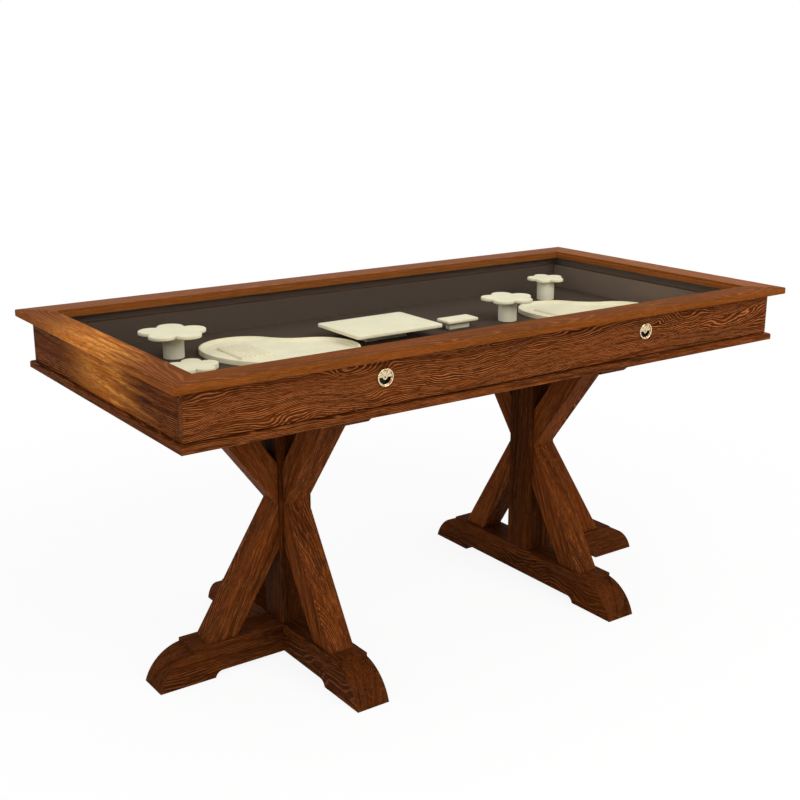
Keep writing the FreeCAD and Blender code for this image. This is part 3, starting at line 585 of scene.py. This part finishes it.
middle = Vector((high.x - SMALL_FROM_RIGHT, low.y + SMALL_FROM_FRONT, 0))
mesh = bmesh.new()
raised_slab(mesh, middle, SMALL_LENGTH, SMALL_DEPTH, SMALL_CORNER, low.z, SMALL_THICKNESS, high.z,
            SMALL_BLOCK_INSET)
lay_in_drawer(new_piece("small_tray", mesh, cream), "low_plates")

CENTRE_CORNER = 0.008
CENTRE_THICKNESS = 0.008
CENTRE_BLOCK_INSET = 0.062

low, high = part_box("centre_tray")
mesh = bmesh.new()
raised_slab(mesh, (low + high) / 2, high.x - low.x, high.y - low.y, CENTRE_CORNER, low.z, CENTRE_THICKNESS,
            high.z, CENTRE_BLOCK_INSET)
lay_in_drawer(new_piece("centre_slab", mesh, cream), "centre_tray")

# ---------------------------------------------------------------- leaf trays
# Two necklace trays of two round lobes, with a full curve in front and a dip behind. Each has a rim, a
# narrow ledge inside it and a flat floor, on which a ribbed pad lies in the large lobe.

LOBE = 0.1015
SMALL_LOBE = 0.095
LOBE_SPACING = 0.163
DIP_CURVE = 0.132
FRONT_CURVE = 0.190
RIM_WIDTH = 0.006
RIM_EDGE = 0.0016
TRAY_THICKNESS = 0.005
# the ledge inside the rim, as distances in from the rim and heights over the tray's floor
LEDGE = ((0.0002, 0.0035), (0.0012, 0.0026), (0.0055, 0.0024), (0.0066, 0.0018), (0.0070, 0.0004),
         (0.0080, 0.0), (0.0095, 0.0))

PAD_LENGTH = 0.078
PAD_DEPTH = 0.118
PAD_SHIFT = Vector((-0.014, -0.027, 0))
PAD_SUNK = 0.0002
PAD_HEIGHT = 0.0062
PAD_RIBS = 7
RIB_STEPS = 6
RIB_FULLNESS = 0.98
GROOVE_HEIGHT = 0.25
# the pad's rounded ends, as distances from the end and shares of the pad's height
PAD_END = ((0, 0.2), (0.0003, 0.6), (0.0012, 0.95), (0.0024, 1))


def curve_middle(to_large, to_small):
    """The middle of a curve that meets both lobes, from its distances to their middles."""
    x = (to_small ** 2 - LOBE_SPACING ** 2 - to_large ** 2) / (2 * LOBE_SPACING)
    return Vector((x, -math.sqrt(to_large ** 2 - x ** 2)))


def leaf_ring(place, inset, height):
    """A leaf tray's outline, drawn in by an inset: large lobe, full curve, small lobe and dip."""
    large = Vector((0, 0))
    small = Vector((-LOBE_SPACING, 0))
    dip = curve_middle(LOBE + DIP_CURVE, SMALL_LOBE + DIP_CURVE)
    full = curve_middle(FRONT_CURVE - LOBE, FRONT_CURVE - SMALL_LOBE)
    arcs = ((large, LOBE - inset, dip - large, large - full, 36),
            (full, FRONT_CURVE - inset, large - full, small - full, 48),
            (small, SMALL_LOBE - inset, small - full, dip - small, 36),
            (dip, DIP_CURVE + inset, small - dip, large - dip, 20))
    ring = []
    for middle, radius, start, end, steps in arcs:
        first = math.atan2(start.y, start.x)
        sweep = (math.atan2(end.y, end.x) - first) % (2 * math.pi)
        if middle is dip:
            sweep -= 2 * math.pi
        for step in range(steps):
            angle = first + sweep * step / steps
            point = middle + Vector((math.cos(angle), math.sin(angle))) * radius
            ring.append(place @ Vector((point.x, point.y, height)))
    return ring


for side, turn in (("left", 145), ("right", 143)):
    low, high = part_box(f"leaf_tray_{side}")
    turned = Matrix.Rotation(math.radians(turn), 4, "Z")
    span = leaf_ring(turned, 0, 0)
    lobe_place = Vector((low.x - min(point.x for point in span), high.y - max(point.y for point in span), 0))
    place = Matrix.Translation(lobe_place) @ turned
    tray_floor = low.z + TRAY_THICKNESS
    outside = rounded_edge(low.z, high.z, RIM_EDGE)
    inside = [(RIM_WIDTH - inset, height) for inset, height in reversed(outside[len(outside) // 2:])]
    hollow = [(RIM_WIDTH + inset, tray_floor + height) for inset, height in LEDGE]
    mesh = bmesh.new()
    loft(mesh, [leaf_ring(place, inset, height) for inset, height in outside + inside + hollow])
    bmesh.ops.recalc_face_normals(mesh, faces=mesh.faces)
    lay_in_drawer(new_piece(f"leaf_dish_{side}", mesh, cream), f"leaf_tray_{side}")

    corner = lobe_place + PAD_SHIFT - Vector((PAD_LENGTH / 2, PAD_DEPTH / 2, PAD_SUNK - tray_floor))
    section = [(0, 0)]
    for rib in range(PAD_RIBS):
        for step in range(RIB_STEPS + 1):
            angle = math.pi * step / RIB_STEPS
            section.append(((rib + 0.5 - math.cos(angle) * RIB_FULLNESS / 2) * PAD_LENGTH / PAD_RIBS,
                            PAD_HEIGHT * (GROOVE_HEIGHT + (1 - GROOVE_HEIGHT) * math.sin(angle))))
    section.append((PAD_LENGTH, 0))
    ends = PAD_END + tuple((PAD_DEPTH - back, lift) for back, lift in reversed(PAD_END))
    mesh = bmesh.new()
    loft(mesh, [[corner + Vector((right, back, up * lift)) for right, up in section] for back, lift in ends])
    bmesh.ops.recalc_face_normals(mesh, faces=mesh.faces)
    lay_in_drawer(new_piece(f"necklace_pad_{side}", mesh, cream), f"leaf_tray_{side}")

# ---------------------------------------------------------------- top frame and glass
# Four oak boards, mitred at the corners and rebated inside, hold one loose pane of clear glass with a
# coating that takes off most of the reflection. The left board carries a painted warm highlight in
# its middle.

rail = dict(heart=(0.02, 0.10), swirl=0.5, rings=0.4)
# each rail's tone and gold: warm stain, with part of the rails' sheen painted in, most on the back and right
# rails
oak("top_rail_front", X, Z, tone=0.94, gold=0.2, **rail)
oak("top_rail_back", X, Z, tone=0.92, gold=0.32, gloss=0.03, **rail)
oak("top_rail_right", Y, Z, tone=1.1, gold=0.34, gloss=0.03, **rail)
# a painted warm highlight in the middle of the left rail
oak("top_rail_left", Y, Z, tone=0.98, gold=0.2, warm_highlight=(0.04, 0.29, 0.95), **rail)

COATED_GLOSS = 0.005

clear_glass, place = new_material("clear_glass")
slant = place.node("LayerWeight", {}, {"Blend": 0.5}, "Facing")
smear = speckle(place, 7, 3.0)
clear = place.node("BsdfTransparent", {}, {"Color": (0.985, 0.995, 0.988, 1)})
gloss = place.node("BsdfAnisotropic", {}, {"Color": (1, 1, 1, 1), "Roughness": smear * 0.04 + 0.03})
finish_material(place, place.node("MixShader", {}, {0: slant ** 5 * COATED_GLOSS, 1: clear, 2: gloss}))
dress("glass_top", clear_glass)

# ---------------------------------------------------------------- floor, light and camera
# A pale floor that keeps the table's soft shadow, a white surround, and two large soft lamps.

FLOOR_HALF = 60.0
FLOOR_DROP = 0.0003
SHADOW_FLOOR = 0.90
SHADOW_REACH = (0.9, 2.4)


def looked_at(wire):
    """1 where the camera, a mirror or the glass shows the surround, 0 where it only gives light."""
    camera, mirror, glass = (wire.node("LightPath", {}, {}, f"Is {way} Ray")
                             for way in ("Camera", "Glossy", "Transmission"))
    return camera.math("MAXIMUM", camera, mirror.math("MAXIMUM", mirror, glass))


mesh = bmesh.new()
bmesh.ops.create_grid(mesh, x_segments=4, y_segments=4, size=FLOOR_HALF)
floor_white, place = new_material("floor_white")
chalk = place.node("BsdfDiffuse", {}, {"Color": (0.95, 0.95, 0.95, 1)})
white = place.node("Emission", {}, {"Color": (1, 1, 1, 1), "Strength": 1.0})
away = place.node("VectorMath", {"operation": "LENGTH"}, {0: place}, 1)
plain = SHADOW_FLOOR + ramp(away, *SHADOW_REACH) * (1 - SHADOW_FLOOR)
finish_material(place, place.node("MixShader", {}, {0: looked_at(place) * plain, 1: chalk, 2: white}))
floor = new_piece("floor", mesh, floor_white, smooth=False)
floor.location.z = -FLOOR_DROP

world = bpy.data.worlds.new("surround")
bpy.context.scene.world = world
world.use_nodes = True
world.node_tree.nodes.clear()
sky = Wire(world.node_tree, None)
dim = sky.node("Background", {}, {"Color": (1, 1, 1, 1), "Strength": 0.74})
white = sky.node("Background", {}, {"Color": (1, 1, 1, 1), "Strength": 1.0})
sky.node("OutputWorld", {}, {"Surface": sky.node("MixShader", {}, {0: looked_at(sky), 1: dim, 2: white})})

LAMP_SIZE = 2.4
LAMP_TARGET = Vector((0, 0, 0.5))


def lamp(name, place, watts, warmth):
    """A square soft lamp that looks at the table."""
    light = bpy.data.lights.new(name, "AREA")
    light.shape = "SQUARE"
    light.size = LAMP_SIZE
    light.energy = watts
    light.color = warmth
    thing = bpy.data.objects.new(name, light)
    thing.location = place
    thing.rotation_euler = (LAMP_TARGET - Vector(place)).to_track_quat("-Z", "Y").to_euler()
    bpy.context.scene.collection.objects.link(thing)


lamp("key_lamp", (1.0, -3.6, 3.4), 105, (1.0, 0.97, 0.93))
lamp("fill_lamp", (-3.6, -1.6, 2.4), 36, (1.0, 0.98, 0.95))

AZIMUTH = math.radians(-35.42)
ELEVATION = math.radians(15.78)
ROLL = math.radians(0.069)
LENS = 54.19
SENSOR = 36
CAMERA_PLACE = Vector((-1.6112, -2.1922, 1.2952))

camera_data = bpy.data.cameras.new("camera")
camera_data.lens = LENS
camera_data.sensor_width = SENSOR
camera_data.sensor_fit = "HORIZONTAL"
camera = bpy.data.objects.new("camera", camera_data)
back = Vector((math.sin(AZIMUTH) * math.cos(ELEVATION), -math.cos(AZIMUTH) * math.cos(ELEVATION),
               math.sin(ELEVATION)))
right = Vector((math.cos(AZIMUTH), math.sin(AZIMUTH), 0))
stand = Matrix((right, back.cross(right), back)).transposed().to_4x4()
camera.matrix_world = Matrix.Translation(CAMERA_PLACE) @ stand @ Matrix.Rotation(ROLL, 4, "Z")
bpy.context.scene.collection.objects.link(camera)
bpy.context.scene.camera = camera
bpy.context.scene.view_settings.view_transform = "Standard"
